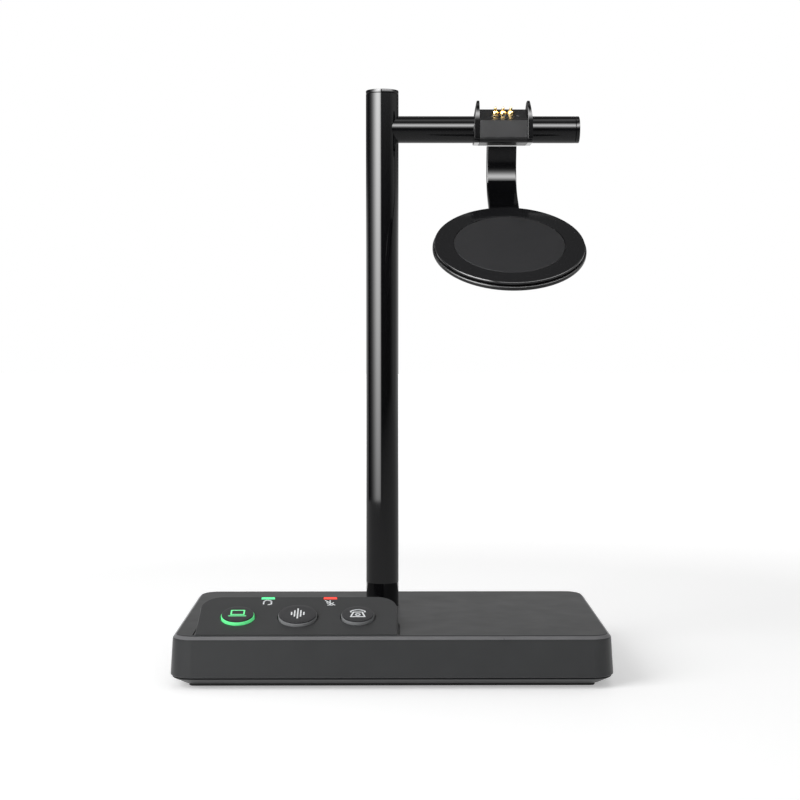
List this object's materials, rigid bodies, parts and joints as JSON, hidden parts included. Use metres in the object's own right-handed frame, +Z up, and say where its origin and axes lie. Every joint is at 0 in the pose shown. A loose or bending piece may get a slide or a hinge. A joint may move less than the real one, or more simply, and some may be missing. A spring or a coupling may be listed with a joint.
{
  "type": "headset charging stand",
  "caption": "Desk charging base for a wireless office headset: slab base with sloped button console, pole with side arm, charging cradle, and a curved neck holding a round ear cup rest.",
  "frame": {"origin": "on the desk surface, under the middle of the base", "axes": "+X to the right along the long side of the base, +Y to the back, away from the user, +Z up along the pole"},
  "size_m": [0.151, 0.0954, 0.2082],
  "materials": {
    "base_black": "fine satin moulded black plastic",
    "gloss_black": "piano black",
    "satin_black": "satin black plastic",
    "rubber": "matte black rubber",
    "pad_black": "matte soft-touch black pad",
    "steel": "plain steel",
    "gold": "gold-plated brass",
    "board_green": "green circuit board",
    "ring_grey": "translucent grey light ring",
    "ring_green": "translucent ring lit green",
    "led_green": "light guide lit green",
    "led_red": "light guide lit red"
  },
  "bodies": {
    "stand": {"base_top_housing": "base_black", "bottom_cover": "base_black", "rubber_base_mat": "rubber", "ballast_plate": "steel", "cover_screw_rear_right": "steel", "cover_screw_rear_left": "steel", "cover_screw_front_left": "steel", "cover_screw_front_right": "steel", "main_board": "board_green", "board_screw_left": "steel", "board_screw_right": "steel", "usb_port": "steel", "phone_jack": "satin_black", "power_jack": "satin_black", "harness_plug": "satin_black", "charging_lead": "rubber", "control_console": "base_black", "link_led_window": "led_green", "mute_led_window": "led_red", "laptop_switch": "satin_black", "headset_switch": "satin_black", "desk_phone_switch": "satin_black", "button_board": "board_green", "console_screw_left": "steel", "console_screw_right": "steel", "pole_tube": "gloss_black", "pole_top_cap": "gloss_black", "pole_flange": "steel", "pole_nut": "steel", "arm_tube": "gloss_black", "arm_end_cap": "gloss_black", "cradle_body": "satin_black", "cradle_cheek_left": "gloss_black", "cradle_cheek_right": "gloss_black", "contact_plate": "satin_black", "pin_barrel_left": "gold", "pin_barrel_middle": "gold", "pin_barrel_right": "gold", "contact_board": "board_green", "neck_strip": "gloss_black", "rest_shell": "satin_black", "rest_ring": "gloss_black", "rest_pad": "pad_black", "rest_steel_plate": "steel", "rest_screw_front": "steel", "rest_screw_back": "steel"},
    "laptop_button": {"laptop_button_cap": "satin_black", "laptop_button_ring": "ring_green"},
    "headset_button": {"headset_button_cap": "satin_black", "headset_button_ring": "ring_grey"},
    "desk_phone_button": {"desk_phone_button_cap": "satin_black", "desk_phone_button_ring": "ring_grey"},
    "pin_left": {"pin_plunger_left": "gold"},
    "pin_middle": {"pin_plunger_middle": "gold"},
    "pin_right": {"pin_plunger_right": "gold"}
  },
  "joints": [
    {"name": "laptop_button_press", "type": "slide", "parent": "stand", "child": "laptop_button", "axis": [0, 0.309, -0.9511], "range_m": [0, 0.0006], "stiffness_N_per_m": 600},
    {"name": "headset_button_press", "type": "slide", "parent": "stand", "child": "headset_button", "axis": [0, 0.309, -0.9511], "range_m": [0, 0.0006], "stiffness_N_per_m": 600},
    {"name": "desk_phone_button_press", "type": "slide", "parent": "stand", "child": "desk_phone_button", "axis": [0, 0.309, -0.9511], "range_m": [0, 0.0006], "stiffness_N_per_m": 600},
    {"name": "pin_left_press", "type": "slide", "parent": "stand", "child": "pin_left", "axis": [0, 0.503, -0.8643], "range_m": [0, 0.001], "stiffness_N_per_m": 300},
    {"name": "pin_middle_press", "type": "slide", "parent": "stand", "child": "pin_middle", "axis": [0, 0.503, -0.8643], "range_m": [0, 0.001], "stiffness_N_per_m": 300},
    {"name": "pin_right_press", "type": "slide", "parent": "stand", "child": "pin_right", "axis": [0, 0.503, -0.8643], "range_m": [0, 0.001], "stiffness_N_per_m": 300}
  ]
}
